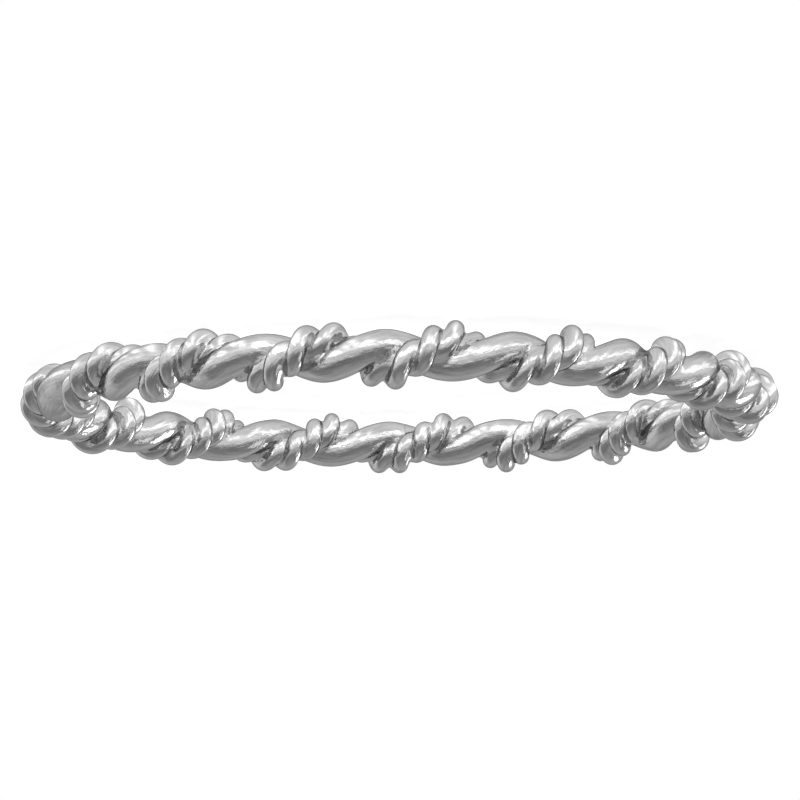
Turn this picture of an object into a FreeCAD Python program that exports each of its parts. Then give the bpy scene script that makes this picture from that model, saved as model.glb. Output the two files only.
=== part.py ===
import FreeCAD, Part
import math
import os

# Finger ring laid like a rope from round silver wire, lying on its side on the floor.
# One thick wire and a pair of thin wires wind round each other all the way round the ring.
# The thin wires also wind round each other, so the pair looks like a fine cord.
# Each wire closes on itself. Millimetres, +Z along the finger hole, floor at Z = 0.
# Angles round the ring start at -Y and run towards +X.

Vector = FreeCAD.Vector
up = Vector(0, 0, 1)

# alias, value, what it is
sizeRows = [
    ("ropeRadius", 9.6, "finger axis to the middle of the rope"),
    ("thickRadius", 0.375, "radius of the thick wire"),
    ("thinRadius", 0.2, "radius of each thin wire"),
    ("thickOffset", 0.305, "middle of the rope to the middle of the thick wire"),
    ("pairOffset", 0.5, "middle of the rope to the middle of the thin pair"),
    ("plyOffset", 0.217, "middle of the thin pair to the middle of each thin wire"),
    ("ropeTurns", 17, "turns of the rope in one round of the ring"),
    ("plyTurns", 43, "turns of the thin pair on top of the turns of the rope"),
    ("thickPoints", 102, "points that the thick wire is laid through"),
    ("thinPoints", 240, "points that each thin wire is laid through"),
]

# The rope was twisted by hand, so its turns run ahead of an even twist or lag behind it.
# place round the ring, lead of the rope's twist, lead of the pair's own twist, in degrees
layRows = [
    (-180, -65, -5),
    (-160, -55, 80),
    (-140, -55, 70),
    (-120, -50, 20),
    (-100, -10, -25),
    (-80, -55, 65),
    (-60, -20, 110),
    (-40, 5, 130),
    (-20, 40, 55),
    (0, 60, -15),
    (20, 90, -105),
    (40, 105, -95),
    (60, 110, -65),
    (80, -5, -5),
    (100, -80, 15),
    (120, -60, -75),
    (140, -55, -80),
    (160, -65, -10),
]


def makeSizeSheet(doc):
    sheet = doc.addObject("Spreadsheet::Sheet", "Sizes")
    for line, (alias, value, meaning) in enumerate(sizeRows, start=1):
        sheet.set("A%d" % line, meaning)
        sheet.set("B%d" % line, str(value))
        sheet.setAlias("B%d" % line, alias)
    # the outermost lobes of the thin wires stand on the floor
    line = len(sizeRows) + 1
    sheet.set("A%d" % line, "floor to the middle of the rope")
    sheet.set("B%d" % line, "=pairOffset + plyOffset + thinRadius")
    sheet.setAlias("B%d" % line, "restHeight")
    return sheet


def makeLaySheet(doc):
    sheet = doc.addObject("Spreadsheet::Sheet", "Lay")
    for column, heading in zip("ABC", ("place", "lead of the rope", "lead of the pair")):
        sheet.set(column + "1", heading)
    for line, row in enumerate(layRows, start=2):
        for column, value in zip("ABC", row):
            sheet.set(column + str(line), str(value))
    return sheet


def layColumn(sheet, column):
    return [float(sheet.get(column + str(line))) for line in range(2, len(layRows) + 2)]


def leadAt(rows, angle):
    # smooth closed curve through the evenly spaced rows
    along = (angle + math.pi) / (2 * math.pi) * len(rows)
    row = math.floor(along)
    part = along - row
    last, here, next, later = [rows[(row + k) % len(rows)] for k in (-1, 0, 1, 2)]
    degrees = 0.5 * (
        2 * here
        + (next - last) * part
        + (2 * last - 5 * here + 4 * next - later) * part ** 2
        + (3 * here - last - 3 * next + later) * part ** 3
    )
    return math.radians(degrees)


def outward(angle):
    return Vector(math.sin(angle), -math.cos(angle), 0)


def onward(angle):
    return Vector(math.cos(angle), math.sin(angle), 0)


def ropeTwist(angle):
    return sizes.ropeTurns * angle + leadAt(ropeLead, angle)


def pairTwist(angle):
    return sizes.plyTurns * angle + leadAt(pairLead, angle)


def thickPath(angle):
    # the thick wire lies opposite the thin pair across the middle of the rope
    twist = ropeTwist(angle)
    radius = sizes.ropeRadius - sizes.thickOffset * math.cos(twist)
    return outward(angle) * radius - up * (sizes.thickOffset * math.sin(twist))


def thinPath(phase):
    # a thin wire circles the middle of its pair, square to the way that the pair runs
    def path(angle):
        twist = ropeTwist(angle)
        step = 1e-4
        twistRate = (ropeTwist(angle + step) - ropeTwist(angle - step)) / (2 * step)
        radius = sizes.ropeRadius + sizes.pairOffset * math.cos(twist)
        lean = math.atan2(sizes.pairOffset * twistRate, radius)
        away = outward(angle) * math.cos(twist) + up * math.sin(twist)
        around = up * math.cos(twist) - outward(angle) * math.sin(twist)
        across = around * math.cos(lean) - onward(angle) * math.sin(lean)
        own = pairTwist(angle) + phase
        middle = outward(angle) * radius + up * (sizes.pairOffset * math.sin(twist))
        return middle + (away * math.cos(own) + across * math.sin(own)) * sizes.plyOffset
    return path


def wayAt(path, angle):
    step = 1e-4
    return (path(angle + step) - path(angle - step)).normalize()


def arcJoint(start, startWay, end, endWay):
    # the point where two arcs meet so that they follow the wire smoothly at both ends
    chord = end - start
    bend = 2 * (1 - startWay.dot(endWay))
    pull = 2 * chord.dot(startWay + endWay)
    reach = 2 * chord.dot(chord) / (pull + math.sqrt(pull ** 2 + 4 * bend * chord.dot(chord)))
    return (start + end + (startWay - endWay) * reach) * 0.5


def tangentArc(start, way, end):
    # an arc that leaves start along way, and the way that it has at its end
    chord = end - start
    along = Vector(chord).normalize()
    halfTurn = way.getAngle(along)
    outside = (way - along * way.dot(along)).normalize()
    top = (start + end) * 0.5 + outside * (chord.Length / 2 * math.tan(halfTurn / 2))
    return Part.Arc(start, top, end).toShape(), along * (2 * way.dot(along)) - way


def wireArcs(path, points):
    # tangent arcs all the way round, two from each point to the next
    angles = [2 * math.pi * k / points - math.pi for k in range(points)]
    stops = [path(angle) for angle in angles]
    ways = [wayAt(path, angle) for angle in angles]
    arcs = []
    for k in range(points):
        end = stops[(k + 1) % points]
        joint = arcJoint(stops[k], ways[k], end, ways[(k + 1) % points])
        firstArc, jointWay = tangentArc(stops[k], ways[k], joint)
        secondArc, endWay = tangentArc(joint, jointWay, end)
        arcs += [firstArc, secondArc]
    return arcs


def makeWire(doc, name, path, points, radiusAlias):
    # two half rounds, swept along the arcs and joined into one closed loop
    arcs = wireArcs(path, points)
    halves = []
    for side, run in (("left", arcs[:points]), ("right", arcs[points:])):
        spine = doc.addObject("Part::Feature", name + "_" + side + "_line")
        spine.Shape = Part.Wire(run)
        start = run[0].valueAt(run[0].FirstParameter)
        startWay = run[0].tangentAt(run[0].FirstParameter)
        section = doc.addObject("Part::Circle", name + "_" + side + "_section")
        section.setExpression("Radius", "Sizes." + radiusAlias)
        section.Placement = FreeCAD.Placement(start, FreeCAD.Rotation(up, startWay))
        sweep = doc.addObject("Part::Sweep", name + "_" + side + "_half")
        sweep.Sections = [section]
        sweep.Spine = (spine, ["Edge%d" % (k + 1) for k in range(len(run))])
        sweep.Solid = True
        sweep.Frenet = False
        halves.append(sweep)
    wire = doc.addObject("Part::Fuse", name)
    wire.Label = name
    wire.Base, wire.Tool = halves
    wire.setExpression("Placement.Base.z", "Sizes.restHeight")
    length = sum(arc.Length for arc in arcs)
    tightest = min(arc.Curve.Radius for arc in arcs)
    return wire, length, tightest


os.makedirs("parts", exist_ok=True)
doc = FreeCAD.newDocument("RopeTwistRing")
sizes = makeSizeSheet(doc)
lay = makeLaySheet(doc)
doc.recompute()
ropeLead = layColumn(lay, "B")
pairLead = layColumn(lay, "C")

wires = [
    makeWire(doc, "thick_wire", thickPath, int(sizes.thickPoints), "thickRadius"),
    makeWire(doc, "thin_wire_a", thinPath(0), int(sizes.thinPoints), "thinRadius"),
    makeWire(doc, "thin_wire_b", thinPath(math.pi), int(sizes.thinPoints), "thinRadius"),
]
doc.recompute()

for item in doc.Objects:
    if "Invalid" in item.State or "Error" in item.State:
        raise RuntimeError(item.Name + " failed")
for wire, length, tightest in wires:
    shape = wire.Shape
    if shape.isNull() or not shape.isValid() or len(shape.Solids) != 1:
        raise RuntimeError(wire.Label + " is not one valid solid")

for wire, length, tightest in wires:
    solid = wire.Shape.Solids[0]
    radius = wire.Base.Sections[0].Radius.Value
    expected = math.pi * radius ** 2 * length
    print(wire.Label, "length %.2f" % length, "tightest bend %.3f" % tightest,
          "volume %.4f of %.4f" % (solid.Volume, expected))
    solid.exportStep("parts/" + wire.Label + ".step")
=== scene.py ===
import math

import bpy
import numpy as np
from mathutils import Matrix, Vector


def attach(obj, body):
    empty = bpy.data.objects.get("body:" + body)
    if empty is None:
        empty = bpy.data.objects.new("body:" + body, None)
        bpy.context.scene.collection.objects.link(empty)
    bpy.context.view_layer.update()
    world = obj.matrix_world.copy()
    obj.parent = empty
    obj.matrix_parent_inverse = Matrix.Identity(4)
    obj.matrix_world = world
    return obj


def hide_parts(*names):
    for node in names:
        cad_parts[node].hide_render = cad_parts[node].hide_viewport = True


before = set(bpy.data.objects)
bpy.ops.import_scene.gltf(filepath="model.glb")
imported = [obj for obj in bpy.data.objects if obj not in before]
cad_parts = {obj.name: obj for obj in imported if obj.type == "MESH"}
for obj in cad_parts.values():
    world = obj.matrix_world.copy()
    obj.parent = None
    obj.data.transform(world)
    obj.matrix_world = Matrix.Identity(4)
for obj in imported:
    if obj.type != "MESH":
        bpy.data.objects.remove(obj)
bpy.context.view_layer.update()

mm = 0.001

# The ring lies on its side: the finger hole runs along Z and the floor is Z = 0.
# Angles round the ring start at -Y and run towards +X.
rope = {
    "radius": 9.6 * mm,      # finger axis to the middle of the rope
    "turns": 17,
    "pairTurns": 43,         # turns of the thin pair on top of the turns of the rope
    "lift": 0.919 * mm,      # floor to the middle of the rope
}

# The rope was twisted by hand, so its turns run ahead of an even twist or lag behind it.
# A program fitted these rows to the ring's outline in the photograph. They are rounded to 5 degrees.
# place round the ring, lead of the rope's twist, lead of the pair's own twist, in degrees
layRows = [
    (-180, -65, -5),
    (-160, -55, 80),
    (-140, -55, 70),
    (-120, -50, 20),
    (-100, -10, -25),
    (-80, -55, 65),
    (-60, -20, 110),
    (-40, 5, 130),
    (-20, 40, 55),
    (0, 60, -15),
    (20, 90, -105),
    (40, 105, -95),
    (60, 110, -65),
    (80, -5, -5),
    (100, -80, 15),
    (120, -60, -75),
    (140, -55, -80),
    (160, -65, -10),
]


def leadAt(place, angle):
    # smooth closed curve through the evenly spaced rows
    rows = np.array([row[place] for row in layRows], float)
    along = (angle + math.pi) / (2 * math.pi) * len(rows)
    row = np.floor(along).astype(int)
    part = along - row
    last, here, later, latest = [rows[(row + k) % len(rows)] for k in (-1, 0, 1, 2)]
    degrees = 0.5 * (
        2 * here
        + (later - last) * part
        + (2 * last - 5 * here + 4 * later - latest) * part ** 2
        + (3 * here - last - 3 * later + latest) * part ** 3
    )
    return np.radians(degrees)


def column(values):
    return np.asarray(values)[:, None]


def rounds(angle):
    # the ways out from the finger axis and on round the ring
    outward = np.stack([np.sin(angle), -np.cos(angle), 0 * angle], 1)
    onward = np.stack([np.cos(angle), np.sin(angle), 0 * angle], 1)
    return outward, onward


up = np.array([0.0, 0.0, 1.0])


def ropeTwist(angle):
    return rope["turns"] * angle + leadAt(1, angle)


def thickLine(angle, wire):
    # middle of the thick wire, the way from the rope's middle to it, and how far that way has turned
    outward = rounds(angle)[0]
    twist = ropeTwist(angle)
    away = -(outward * column(np.cos(twist)) + up * column(np.sin(twist)))
    middle = outward * rope["radius"] + up * rope["lift"] + away * wire["offset"]
    return middle, away, twist


def thinLine(angle, wire):
    # middle of one thin wire, the way from the pair's middle to it, and how far that way has turned
    outward, onward = rounds(angle)
    twist = ropeTwist(angle)
    rate = np.gradient(twist, angle)
    lean = np.arctan2(wire["offset"] * rate, rope["radius"] + wire["offset"] * np.cos(twist))
    away = outward * column(np.cos(twist)) + up * column(np.sin(twist))
    around = up * column(np.cos(twist)) - outward * column(np.sin(twist))
    across = around * column(np.cos(lean)) - onward * column(np.sin(lean))
    own = rope["pairTurns"] * angle + leadAt(2, angle) + wire["phase"]
    side = away * column(np.cos(own)) + across * column(np.sin(own))
    middle = outward * rope["radius"] + up * rope["lift"] + away * wire["offset"]
    return middle + side * wire["spread"], side, twist + own


def waves(angle, seed, slowest, fastest, size):
    # gentle unevenness that closes on itself round the ring
    chance = np.random.RandomState(seed)
    total = np.zeros_like(angle)
    for count in range(slowest, fastest):
        total += chance.normal() * np.sin(count * angle + chance.uniform(0, 2 * math.pi))
    return size * total / math.sqrt((fastest - slowest) / 2)


spare = 3
handWork = {
    # slowest and fastest waves in one round of the ring
    "wander": (8, 60),       # of the wire's middle
    "uneven": (5, 90),       # of its thickness
}


def layWire(wire):
    stations = wire["stations"]
    sides = wire["sides"]
    angle = np.linspace(-math.pi, math.pi, stations, endpoint=False)
    # a few stations more at both ends, so that the slopes are right where the wire closes
    longAngle = np.concatenate([angle[-spare:] - 2 * math.pi, angle, angle[:spare] + 2 * math.pi])
    middle, away, turned = wire["line"](longAngle, wire)
    tangent = np.gradient(middle, axis=0)
    tangent /= np.linalg.norm(tangent, axis=1)[:, None]
    away = away - tangent * column(np.sum(away * tangent, 1))
    away /= np.linalg.norm(away, axis=1)[:, None]
    across = np.cross(tangent, away)
    middle, away, across, turned = [part[spare:-spare] for part in (middle, away, across, turned)]
    wander, uneven = handWork["wander"], handWork["uneven"]
    middle = middle + away * column(waves(angle, wire["seed"], *wander, wire["wander"]))
    middle = middle + across * column(waves(angle, wire["seed"] + 1, *wander, wire["wander"]))
    radius = wire["radius"] * (1 + waves(angle, wire["seed"] + 2, *uneven, wire["uneven"]))
    turn = np.linspace(0, 2 * math.pi, sides, endpoint=False)
    normals = away[:, None] * np.cos(turn)[None, :, None]
    normals = normals + across[:, None] * np.sin(turn)[None, :, None]
    wire["middle"] = middle
    wire["angle"] = np.repeat(angle, sides)
    wire["normals"] = normals.reshape(-1, 3)
    wire["places"] = (middle[:, None] + normals * radius[:, None, None]).reshape(-1, 3)
    step = np.linalg.norm(np.diff(np.vstack([middle, middle[:1]]), axis=0), axis=1)
    length = np.concatenate([[0], np.cumsum(step)[:-1]])
    unturned = turn[None] - turned[:, None]
    # places on the wire as if it were straight and untwisted, for the lines that run along it
    wire["straight"] = np.stack([
        radius[:, None] * np.cos(unturned),
        radius[:, None] * np.sin(unturned),
        np.repeat(length[:, None], sides, 1),
    ], 2).reshape(-1, 3)


atOnce = 8000                # places in one step, to spare memory


def gapTo(places, angle, other):
    # distance from each place to the face of another wire, less than 0 inside it
    line = other["middle"]
    window = int(len(line) * other["reach"] / 360)
    steps = np.arange(-window, window + 1)
    gap = np.empty(len(places))
    for start in range(0, len(places), atOnce):
        part = slice(start, start + atOnce)
        nearest = np.round((angle[part] + math.pi) / (2 * math.pi) * len(line)).astype(int)
        near = line[(nearest[:, None] + steps[None]) % len(line)]
        gap[part] = np.sqrt(np.min(np.sum((near - places[part][:, None]) ** 2, 2), 1))
    return gap - other["radius"]


def blended(one, other, size):
    # smooth union of two distances
    overlap = np.maximum(size - np.abs(one - other), 0)
    return np.minimum(one, other) - overlap ** 2 / (4 * size)


solder = {
    "deep": 0.035 * mm,      # how far inside a neighbour a face is still moved
    "sunk": 0.008 * mm,      # how far it is then drawn in, so that no two faces coincide
    "rise": 0.16 * mm,       # highest fillet
    "rounds": 4,
}


def fillCreases(wire, others):
    # solder rounds the corner where two wires meet
    places, normals, angle = wire["places"], wire["normals"], wire["angle"]
    gaps = [gapTo(places, angle, other) for other in others]
    closest = np.minimum(*gaps)
    touched = (closest < wire["fillet"]) & (closest > -solder["deep"])
    sunk = np.clip(-closest[touched] / solder["deep"], 0, 1) * solder["sunk"]
    rise = np.zeros(np.count_nonzero(touched))
    for _ in range(solder["rounds"]):
        moved = places[touched] + normals[touched] * rise[:, None]
        level = rise
        for other in others:
            level = blended(level, gapTo(moved, angle[touched], other), wire["fillet"])
        rise = rise - (level + sunk)
    rise = np.clip(rise, 0, solder["rise"])
    places = places.copy()
    places[touched] += normals[touched] * rise[:, None]
    wire["filled"] = places
    wire["crease"] = np.clip(1 - closest / wire["fillet"], 0, 1)


def makeMesh(name, wire):
    stations, sides = wire["stations"], wire["sides"]
    first = np.arange(stations)[:, None] * sides + np.arange(sides)[None, :]
    onwards = np.roll(first, -1, axis=0)
    beside = np.roll(first, -1, axis=1)
    both = np.roll(onwards, -1, axis=1)
    quads = np.stack([first, beside, both, onwards], 2).reshape(-1, 4)
    mesh = bpy.data.meshes.new(name)
    mesh.from_pydata(wire["filled"].tolist(), [], quads.tolist())
    mesh.polygons.foreach_set("use_smooth", [True] * len(mesh.polygons))
    attribute = mesh.attributes.new("straightWire", "FLOAT_VECTOR", "POINT")
    attribute.data.foreach_set("vector", wire["straight"].reshape(-1).astype(np.float32))
    attribute = mesh.attributes.new("crease", "FLOAT", "POINT")
    attribute.data.foreach_set("value", wire["crease"].astype(np.float32))
    mesh.update()
    piece = bpy.data.objects.new(name, mesh)
    bpy.context.scene.collection.objects.link(piece)
    return piece


silverLook = {
    "bright": (0.60, 0.60, 0.60, 1),
    "worn": (0.47, 0.47, 0.47, 1),     # streaks of old polish along the wire
    "film": (0.60, 0.60, 0.60, 1),     # grey film left in the creases between the wires
    "edge": (0.35, 0.35, 0.35, 1),     # how much the metal mirrors at a slant
    "smooth": 0.06,                    # roughness of the best and the worst polish
    "rough": 0.17,
    "bump": 0.5,                       # strength of all three bumps
    "lines": 0.016 * mm,               # depths of the draw lines, dents and pits
    "dents": 0.04 * mm,
    "pits": 0.03 * mm,
    "streakRange": (0.42, 0.68),       # noise from which the polish starts to look worn, and is worn
    "polishRange": (0.35, 0.7),        # the same for its roughness
    "filmFrom": 0.35,                  # how deep in a crease, 0 to 1, the film starts
    "filmMost": 0.8,                   # and how much of it there is at the bottom
    "dullFrom": 0.3,                   # the same for how much of a metal the crease is
    "dullMetal": 0.5,
    # each pattern's scale across the wire, twice, and along it, in a metre, and its detail
    "streakPattern": ((11000, 11000, 1800), 5),
    "glossPattern": ((1900, 1900, 1200), 4),
    "linePattern": ((9000, 9000, 900), 3),
    "dentPattern": ((2600, 2600, 1600), 2),
    "pitPattern": ((9000, 9000, 6000), 3),
}


def silver():
    material = bpy.data.materials.new("polished_silver")
    material.use_nodes = True
    nodes = material.node_tree.nodes
    link = material.node_tree.links.new
    shader = nodes["Principled BSDF"]
    shader.inputs["Specular Tint"].default_value = silverLook["edge"]
    straight = nodes.new("ShaderNodeAttribute")
    straight.attribute_name = "straightWire"
    crease = nodes.new("ShaderNodeAttribute")
    crease.attribute_name = "crease"

    def noise(scale, detail):
        # noise laid along the straightened wire
        stretch = nodes.new("ShaderNodeMapping")
        stretch.inputs["Scale"].default_value = scale
        link(straight.outputs["Vector"], stretch.inputs["Vector"])
        texture = nodes.new("ShaderNodeTexNoise")
        texture.inputs["Scale"].default_value = 1.0
        texture.inputs["Detail"].default_value = detail
        link(stretch.outputs["Vector"], texture.inputs["Vector"])
        return texture.outputs["Fac"]

    def ranged(value, low, high, least, most):
        spread = nodes.new("ShaderNodeMapRange")
        spread.inputs["From Min"].default_value = low
        spread.inputs["From Max"].default_value = high
        spread.inputs["To Min"].default_value = least
        spread.inputs["To Max"].default_value = most
        link(value, spread.inputs["Value"])
        return spread.outputs["Result"]

    def mixed(factor, first, second):
        colour = nodes.new("ShaderNodeMix")
        colour.data_type = "RGBA"
        link(factor, colour.inputs["Factor"])
        for value, name in ((first, "A"), (second, "B")):
            if isinstance(value, tuple):
                colour.inputs[name].default_value = value
            else:
                link(value, colour.inputs[name])
        return colour.outputs["Result"]

    def bumped(height, depth, under):
        bump = nodes.new("ShaderNodeBump")
        bump.inputs["Strength"].default_value = silverLook["bump"]
        bump.inputs["Distance"].default_value = silverLook[depth]
        link(noise(*silverLook[height]), bump.inputs["Height"])
        if under:
            link(under, bump.inputs["Normal"])
        return bump.outputs["Normal"]

    streaks = ranged(noise(*silverLook["streakPattern"]), *silverLook["streakRange"], 0.0, 1.0)
    metal = mixed(streaks, silverLook["bright"], silverLook["worn"])
    # deep in a crease the metal is dulled by the film
    filmed = ranged(crease.outputs["Fac"], silverLook["filmFrom"], 1.0, 0.0, silverLook["filmMost"])
    metal = mixed(filmed, metal, silverLook["film"])
    link(metal, shader.inputs["Base Color"])
    dulled = ranged(crease.outputs["Fac"], silverLook["dullFrom"], 1.0, 1.0, silverLook["dullMetal"])
    link(dulled, shader.inputs["Metallic"])
    polish = noise(*silverLook["glossPattern"])
    gloss = ranged(polish, *silverLook["polishRange"], silverLook["smooth"], silverLook["rough"])
    link(gloss, shader.inputs["Roughness"])
    lined = bumped("linePattern", "lines", None)
    dented = bumped("dentPattern", "dents", lined)
    link(bumped("pitPattern", "pits", dented), shader.inputs["Normal"])
    return material


thickWire = {
    "line": thickLine,
    "radius": 0.44 * mm,
    "offset": 0.235 * mm,    # middle of the rope to the middle of the wire
    "stations": 1700,        # rings of points along the wire
    "sides": 56,             # points in each ring
    "reach": 1.5,            # how far round the ring a neighbour is looked for, in degrees
    "wander": 0.006 * mm,    # how far the wire strays from its line
    "uneven": 0.012,         # how much its thickness changes, as a share
    "fillet": 0.17 * mm,     # how near a neighbour the corner is filled
    "poolWide": 0.36 * mm,   # size and brightness of the painted pool of light on the floor before one turn, seen in it as a painted highlight
    "poolDeep": 0.5 * mm,
    "paintedPoolLight": 2.2,
}

thinWire = {
    "line": thinLine,
    "radius": 0.238 * mm,
    "offset": 0.435 * mm,    # middle of the rope to the middle of the pair
    "spread": 0.242 * mm,    # middle of the pair to the middle of the wire
    "stations": 2800,
    "sides": 32,
    "reach": 2.2,
    "wander": 0.004 * mm,
    "uneven": 0.02,
    "fillet": 0.17 * mm,
    # size and brightness of the painted pool of light on the floor before one turn, seen in it as a
    # painted highlight
    "poolWide": 0.16 * mm,
    "poolDeep": 0.4 * mm,
    "paintedPoolLight": 1.2,
}

wires = {
    "thick_wire": dict(thickWire, seed=11),
    "thin_wire_a": dict(thinWire, seed=23, phase=0),
    "thin_wire_b": dict(thinWire, seed=37, phase=math.pi),
}


def makeWires():
    metal = silver()
    for wire in wires.values():
        layWire(wire)
    print("wires laid")
    for node, wire in wires.items():
        fillCreases(wire, [other for name, other in wires.items() if name != node])
    print("creases filled")
    for node, wire in wires.items():
        piece = makeMesh(node + "_silver", wire)
        piece.data.materials.append(metal)
        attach(piece, "root")
        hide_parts(node)
        print("made", piece.name, len(piece.data.polygons), "faces")


studio = {
    "floorColour": (0.35, 0.35, 0.35, 1),
    "floorRoughness": 0.9,
    "floorGlow": 0.835,      # brightness of the plain floor's own light, which makes it pale
    "paintedBand": 0.3,             # brightness of a painted band of light on the floor beside the ring, seen in the silver as painted highlights
    "bandSides": 3.5,        # and how much more of it there is at the two sides of the ring
    "bandOut": 1.8 * mm,     # how far from the rope it lies
    "bandNear": 0.45 * mm,   # how softly it ends towards the rope and away from it
    "bandFar": 0.7 * mm,
    "poolLamp": 7.4,         # height of the front direction, in degrees, whose mirror ray from a wire sets where its painted pool lies
    "poolTilt": -13.5,       # tilt of the patch of wire that mirrors its painted pool
    "poolReach": 7.0,        # how far from that tilt a turn may be and still get a painted pool
    "poolApart": 200,        # painted pools of one wire lie at least this part of its length apart
}

# The floor is laid in rings, fine near the silver, and spokes.
floorRings = np.concatenate([
    [0.01, 1, 2, 3],
    np.arange(4, 16, 0.12),
    [17, 18, 20, 25, 40, 80, 200, 600, 1600],
]) * mm
floorSpokes = 1080


def paintPools(radius, angle):
    # paints a small pool of light on the floor in front of each turn of a wire that faces the front,
    # where the turn mirrors the floor, so that it shows a painted highlight
    lamp, tilt = math.radians(studio["poolLamp"]), math.radians(studio["poolTilt"])
    toLamp = np.array([0, -math.cos(lamp), math.sin(lamp)])
    facing = np.array([0, -math.cos(tilt), math.sin(tilt)])
    acrossFloor, alongFloor = radius * np.sin(angle), -radius * np.cos(angle)
    total = np.zeros_like(radius)
    for wire in wires.values():
        off = np.degrees(np.arccos(np.clip(wire["normals"] @ facing, -1, 1)))
        off = off.reshape(-1, wire["sides"])
        nearest = off.min(1)
        best = nearest < studio["poolReach"]
        for step in range(1, wire["stations"] // studio["poolApart"]):
            best &= (nearest <= np.roll(nearest, step)) & (nearest < np.roll(nearest, -step))
        for station in np.nonzero(best)[0]:
            vertex = station * wire["sides"] + off[station].argmin()
            place, normal = wire["places"][vertex], wire["normals"][vertex]
            thrown = 2 * (normal @ toLamp) * normal - toLamp
            landed = place - thrown * (place[2] / thrown[2])
            apart = ((acrossFloor - landed[0]) / wire["poolWide"]) ** 2
            apart = apart + ((alongFloor - landed[1]) / wire["poolDeep"]) ** 2
            total = np.maximum(total, wire["paintedPoolLight"] * np.exp(-apart))
    return total


def makeFloor():
    angles = np.linspace(-math.pi, math.pi, floorSpokes, endpoint=False)
    radius, angle = np.meshgrid(floorRings, angles, indexing="ij")
    places = np.stack([radius * np.sin(angle), -radius * np.cos(angle), 0 * radius], 2).reshape(-1, 3)
    first = np.arange(len(floorRings) - 1)[:, None] * floorSpokes + np.arange(floorSpokes)[None]
    beside = np.roll(first, -1, axis=1)
    quads = np.stack([first, first + floorSpokes, beside + floorSpokes, beside], 2).reshape(-1, 4)
    middle = [tuple(range(floorSpokes))]
    mesh = bpy.data.meshes.new("floor")
    mesh.from_pydata(places.tolist(), [], quads.tolist() + middle)
    # the plain floor's even glow, plus a painted band and painted pools of light beside the ring,
    # which the silver mirrors as painted highlights
    # painted band of light beside the ring, brighter at its two sides, which the silver mirrors as
    # painted highlights
    off = np.abs(radius - rope["radius"]) - studio["bandOut"]
    wide = np.where(off < 0, studio["bandNear"], studio["bandFar"])
    paintedBand = studio["paintedBand"] * np.exp(-(off / wide) ** 2)
    paintedBand = paintedBand * (1 + studio["bandSides"] * np.sin(angle) ** 4)
    level = studio["floorGlow"] + paintedBand + paintPools(radius, angle)
    light = mesh.attributes.new("floorGlowAndPaintedLight", "FLOAT", "POINT")
    light.data.foreach_set("value", level.reshape(-1).astype(np.float32))
    floor = bpy.data.objects.new("floor", mesh)
    bpy.context.scene.collection.objects.link(floor)
    material = bpy.data.materials.new("pale_floor")
    material.use_nodes = True
    shader = material.node_tree.nodes["Principled BSDF"]
    shader.inputs["Base Color"].default_value = studio["floorColour"]
    shader.inputs["Roughness"].default_value = studio["floorRoughness"]
    shader.inputs["Specular IOR Level"].default_value = 0.0
    # the floor glows evenly, and brighter in the painted band and painted pools
    glow = material.node_tree.nodes.new("ShaderNodeAttribute")
    glow.attribute_name = "floorGlowAndPaintedLight"
    material.node_tree.links.new(glow.outputs["Fac"], shader.inputs["Emission Strength"])
    shader.inputs["Emission Color"].default_value = (1, 1, 1, 1)
    mesh.materials.append(material)
    print("floor made")


room = {
    # height of the direction, from level 0 to straight up 1, and brightness there
    "front": [
        (0.0, 0.76),
        (0.14, 0.68),
        (0.22, 0.48),
        (0.32, 0.31),
        (0.55, 0.25),
        (0.8, 0.32),
        (1.0, 0.45),
    ],
    "back": [
        (0.0, 0.95),
        (0.35, 0.88),
        (0.55, 0.68),
        (0.8, 0.60),
        (0.93, 0.52),
        (1.0, 0.45),
    ],
    "turn": (-0.1, 0.5),     # how far towards the back the front ends and the back begins
}


def makeWorld():
    # soft grey room, light near the floor and behind, darker higher up at the front
    world = bpy.data.worlds.new("studio")
    bpy.context.scene.world = world
    world.use_nodes = True
    nodes = world.node_tree.nodes
    link = world.node_tree.links.new
    background = nodes["Background"]
    background.inputs["Strength"].default_value = 1.0
    place = nodes.new("ShaderNodeTexCoord")
    split = nodes.new("ShaderNodeSeparateXYZ")
    link(place.outputs["Generated"], split.inputs["Vector"])
    shades = []
    for side in ("front", "back"):
        ramp = nodes.new("ShaderNodeValToRGB")
        link(split.outputs["Z"], ramp.inputs["Fac"])
        while len(ramp.color_ramp.elements) < len(room[side]):
            ramp.color_ramp.elements.new(0.5)
        for element, (height, level) in zip(ramp.color_ramp.elements, room[side]):
            element.position = height
            element.color = (level, level, level, 1)
        shades.append(ramp.outputs["Color"])
    behind = nodes.new("ShaderNodeMapRange")
    behind.inputs["From Min"].default_value = room["turn"][0]
    behind.inputs["From Max"].default_value = room["turn"][1]
    behind.interpolation_type = "SMOOTHSTEP"
    link(split.outputs["Y"], behind.inputs["Value"])
    mix = nodes.new("ShaderNodeMix")
    mix.data_type = "RGBA"
    link(behind.outputs["Result"], mix.inputs["Factor"])
    link(shades[0], mix.inputs["A"])
    link(shades[1], mix.inputs["B"])
    link(mix.outputs["Result"], background.inputs["Color"])


lamps = {
    "overheadWide": 0.4,
    "overheadHeight": 0.4,
    "overheadPower": 0.03,
    "softboxAway": 0.32,
    "softboxWide": 0.10,
    "softboxTall": 0.16,
    # way round the ring and height above the floor in degrees, and brightness
    "softboxes": [(-75, 30, 0.9), (-118, 24, 3.0)],
}


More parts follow.
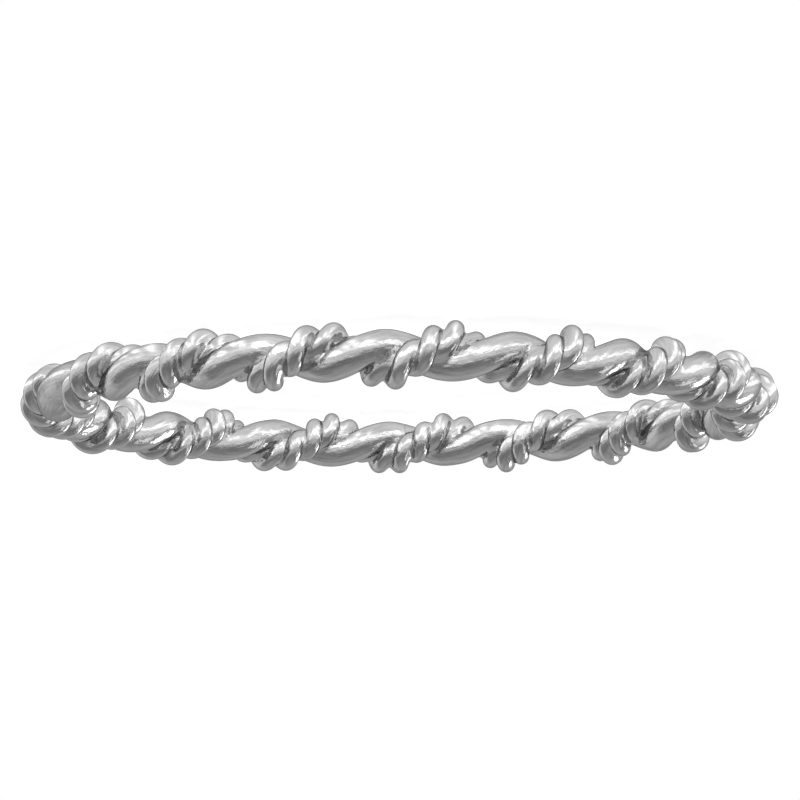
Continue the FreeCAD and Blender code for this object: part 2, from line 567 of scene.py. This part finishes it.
def makeLights():
    # one broad soft light overhead, for the floor
    light = bpy.data.lights.new("overhead", "AREA")
    light.shape = "DISK"
    light.size = lamps["overheadWide"]
    light.energy = lamps["overheadPower"]
    lamp = bpy.data.objects.new("overhead", light)
    lamp.location = (0, 0, lamps["overheadHeight"])
    lamp.visible_glossy = False
    bpy.context.scene.collection.objects.link(lamp)
    # small softboxes, which the silver mirrors as streaks
    for k, (way, rise, brightness) in enumerate(lamps["softboxes"]):
        light = bpy.data.lights.new("softbox_%d" % k, "AREA")
        light.shape = "RECTANGLE"
        light.size = lamps["softboxWide"]
        light.size_y = lamps["softboxTall"]
        light.energy = brightness * math.pi * lamps["softboxWide"] * lamps["softboxTall"]
        lamp = bpy.data.objects.new("softbox_%d" % k, light)
        lamp.visible_diffuse = False     # no shadow on the floor
        angle, lift = math.radians(way), math.radians(rise)
        level = math.cos(lift)
        toLamp = Vector((math.sin(angle) * level, -math.cos(angle) * level, math.sin(lift)))
        lamp.location = toLamp * lamps["softboxAway"]
        lamp.rotation_euler = (-toLamp).to_track_quat("-Z", "Y").to_euler()
        bpy.context.scene.collection.objects.link(lamp)


view = {
    "distance": 125 * mm,
    "elevation": 7.4,        # degrees above the floor
    "lean": -0.29,           # small tilt of the frame, degrees
    "aim": 0.835 * mm,       # height of the point that the camera looks at
    "lens": 202.6,
    "sensor": 36,
    "nearest": 0.005,        # what the camera sees, in metres from it
    "furthest": 10,
}


def makeCamera():
    # the photograph is taken with the nearest side of the ring at the top of the frame
    camera = bpy.data.cameras.new("camera")
    camera.lens = view["lens"]
    camera.sensor_width = view["sensor"]
    camera.clip_start = view["nearest"]
    camera.clip_end = view["furthest"]
    holder = bpy.data.objects.new("camera", camera)
    bpy.context.scene.collection.objects.link(holder)
    tilt = math.radians(view["elevation"])
    back = Vector((0, -math.cos(tilt), math.sin(tilt)))
    right = Vector((-1, 0, 0))
    top = back.cross(right)
    turned = Matrix((right, top, back)).transposed().to_4x4()
    turned = turned @ Matrix.Rotation(math.radians(view["lean"]), 4, "Z")
    turned.translation = Vector((0, 0, view["aim"])) + back * view["distance"]
    holder.matrix_world = turned
    bpy.context.scene.camera = holder


makeWires()
makeFloor()
makeWorld()
makeLights()
makeCamera()
print("room, lights and camera made")
bpy.context.scene.view_settings.view_transform = "Standard"
